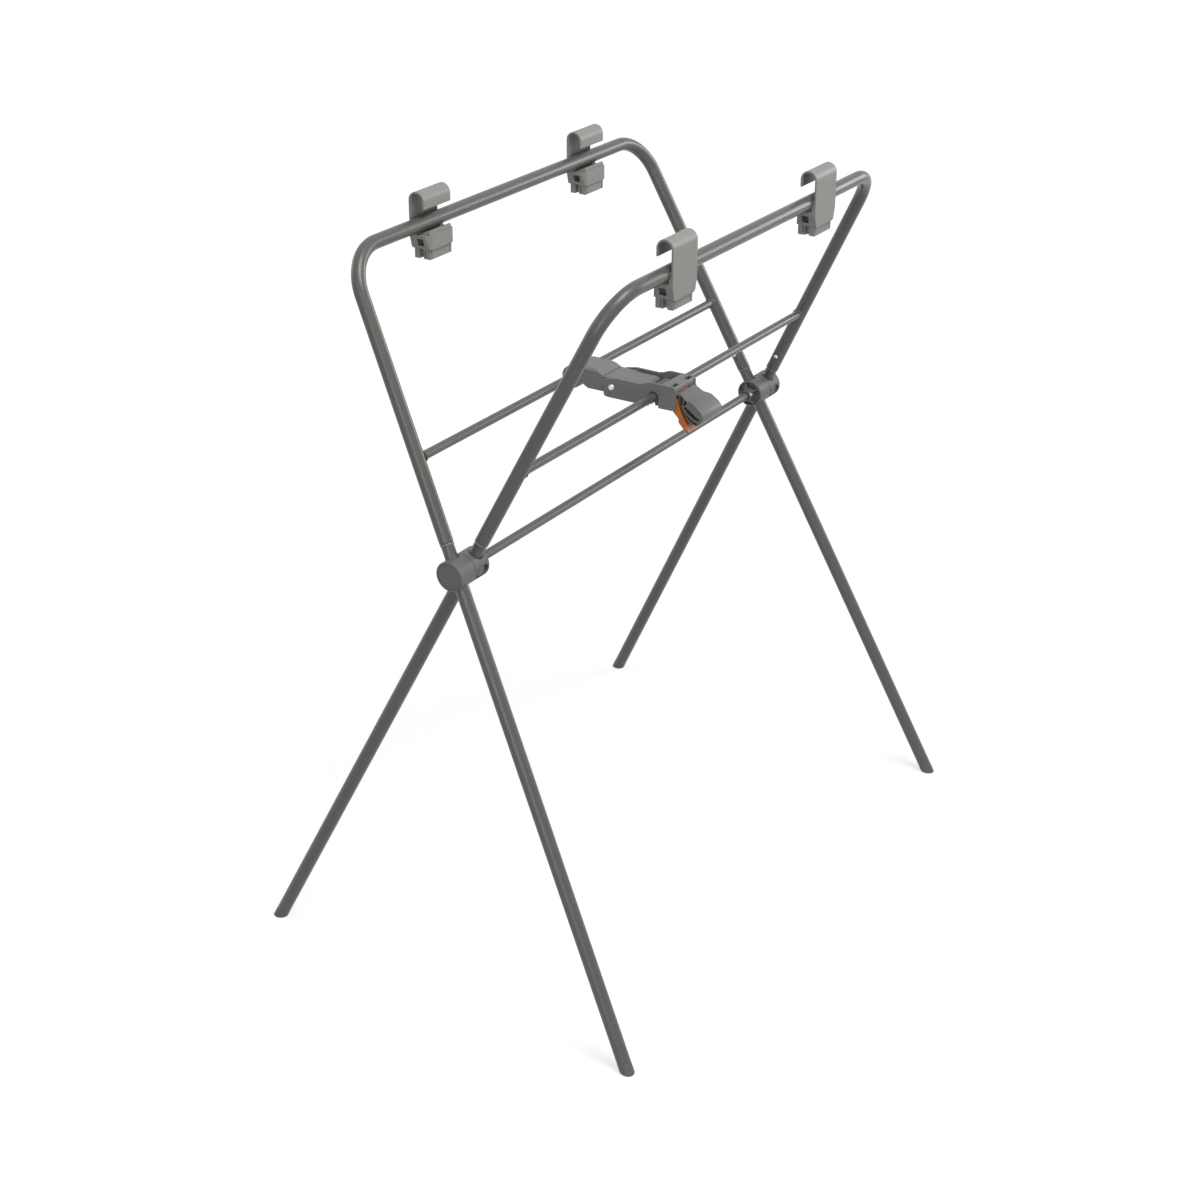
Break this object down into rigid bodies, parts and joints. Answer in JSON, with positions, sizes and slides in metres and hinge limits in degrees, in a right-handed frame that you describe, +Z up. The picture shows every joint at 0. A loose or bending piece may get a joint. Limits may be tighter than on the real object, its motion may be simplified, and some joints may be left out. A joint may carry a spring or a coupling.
{
  "type": "folding baby bath stand",
  "caption": "Folding X-frame tube stand that holds a baby bath by its rim on clip-on hooks, with round pivot hubs and a hinged locking brace with a grip and release lever.",
  "frame": {"origin": "on the floor, midway between the four feet, below the middle of the hub axis", "axes": "+X along the hub axis from the near hub in the picture to the far hub, +Y toward the rail of frame a (the rear rail in the picture), +Z up"},
  "size_m": [0.9606, 0.6354, 1.0374],
  "materials": {
    "tube_paint": "satin warm dark grey powder coat",
    "bar_paint": "satin dark grey powder coat",
    "foot_plastic": "matt dark grey moulding",
    "hub_plastic": "fine-grained mid grey moulding",
    "brace_plastic": "fine-grained mid grey moulding",
    "grip_plastic": "fine-grained mid grey moulding",
    "hook_plastic": "satin light green-grey moulding",
    "bearing_plastic": "smooth near-black moulding",
    "lever_plastic": "semi-gloss burnt orange moulding",
    "zinc_steel": "bright zinc plate",
    "button_steel": "polished, bare"
  },
  "bodies": {
    "frame_a": {"upper_frame_a": "tube_paint", "crossbar_a": "tube_paint", "leg_outer_a": "tube_paint", "leg_inner_a": "tube_paint", "foot_outer_a": "foot_plastic", "foot_inner_a": "foot_plastic", "hub_outer_a": "hub_plastic", "hub_inner_a": "hub_plastic", "hub_cap_a": "hub_plastic", "hub_plugs_a": "hub_plastic", "pivot_bolt_a": "zinc_steel", "hook_near_a": "hook_plastic", "hook_far_a": "hook_plastic", "clamp_near_a": "hook_plastic", "clamp_far_a": "hook_plastic", "hub_bar": "bar_paint", "bar_screw": "zinc_steel"},
    "frame_b": {"upper_frame_b": "tube_paint", "crossbar_b": "tube_paint", "leg_outer_b": "tube_paint", "leg_inner_b": "tube_paint", "foot_outer_b": "foot_plastic", "foot_inner_b": "foot_plastic", "hub_outer_b": "hub_plastic", "hub_inner_b": "hub_plastic", "hub_cap_b": "hub_plastic", "hub_plugs_b": "hub_plastic", "pivot_bolt_b": "zinc_steel", "hook_near_b": "hook_plastic", "hook_far_b": "hook_plastic", "clamp_near_b": "hook_plastic", "clamp_far_b": "hook_plastic"},
    "rear_arm": {"rear_arm": "brace_plastic", "brace_pin": "zinc_steel"},
    "front_arm": {"front_arm": "brace_plastic", "pin_heads": "zinc_steel", "bar_bearings": "bearing_plastic", "grip": "grip_plastic", "lever_pin": "zinc_steel"},
    "release_lever": {"release_lever": "lever_plastic"},
    "snap_outer_a": {"snap_outer_a": "button_steel"},
    "snap_inner_a": {"snap_inner_a": "button_steel"},
    "snap_outer_b": {"snap_outer_b": "button_steel"},
    "snap_inner_b": {"snap_inner_b": "button_steel"}
  },
  "joints": [
    {"name": "fold", "type": "hinge", "parent": "frame_a", "child": "frame_b", "pos_m": [0, 0, 0.616], "axis": [-1, 0, 0], "range_deg": [0, 38]},
    {"name": "rear_arm_swing", "type": "hinge", "parent": "frame_a", "child": "rear_arm", "pos_m": [-0.01, 0.06769, 0.75176], "axis": [1, 0, 0], "range_deg": [0, 54.01]},
    {"name": "front_arm_swing", "type": "hinge", "parent": "frame_b", "child": "front_arm", "pos_m": [-0.01, -0.06769, 0.75176], "axis": [-1, 0, 0], "range_deg": [0, 54.01]},
    {"name": "release", "type": "hinge", "parent": "front_arm", "child": "release_lever", "pos_m": [-0.01, -0.09469, 0.75176], "axis": [-1, 0, 0], "range_deg": [0, 7], "stiffness_Nm_per_rad": 1.2, "springref_deg": -6.88},
    {"name": "snap_outer_a_press", "type": "slide", "parent": "frame_a", "child": "snap_outer_a", "axis": [-0.9949, 0.0451, 0.0904], "range_m": [0, 0.0022], "stiffness_N_per_m": 900, "springref_m": -0.004},
    {"name": "snap_inner_a_press", "type": "slide", "parent": "frame_a", "child": "snap_inner_a", "axis": [0.9949, 0.0451, 0.0904], "range_m": [0, 0.0022], "stiffness_N_per_m": 900, "springref_m": -0.004},
    {"name": "snap_outer_b_press", "type": "slide", "parent": "frame_b", "child": "snap_outer_b", "axis": [0.9949, -0.0451, 0.0904], "range_m": [0, 0.0022], "stiffness_N_per_m": 900, "springref_m": -0.004},
    {"name": "snap_inner_b_press", "type": "slide", "parent": "frame_b", "child": "snap_inner_b", "axis": [-0.9949, -0.0451, 0.0904], "range_m": [0, 0.0022], "stiffness_N_per_m": 900, "springref_m": -0.004}
  ],
  "couplings": [
    {"joint": "rear_arm_swing", "follows": "fold", "ratio": 1.4208},
    {"joint": "front_arm_swing", "follows": "fold", "ratio": 1.4208}
  ]
}
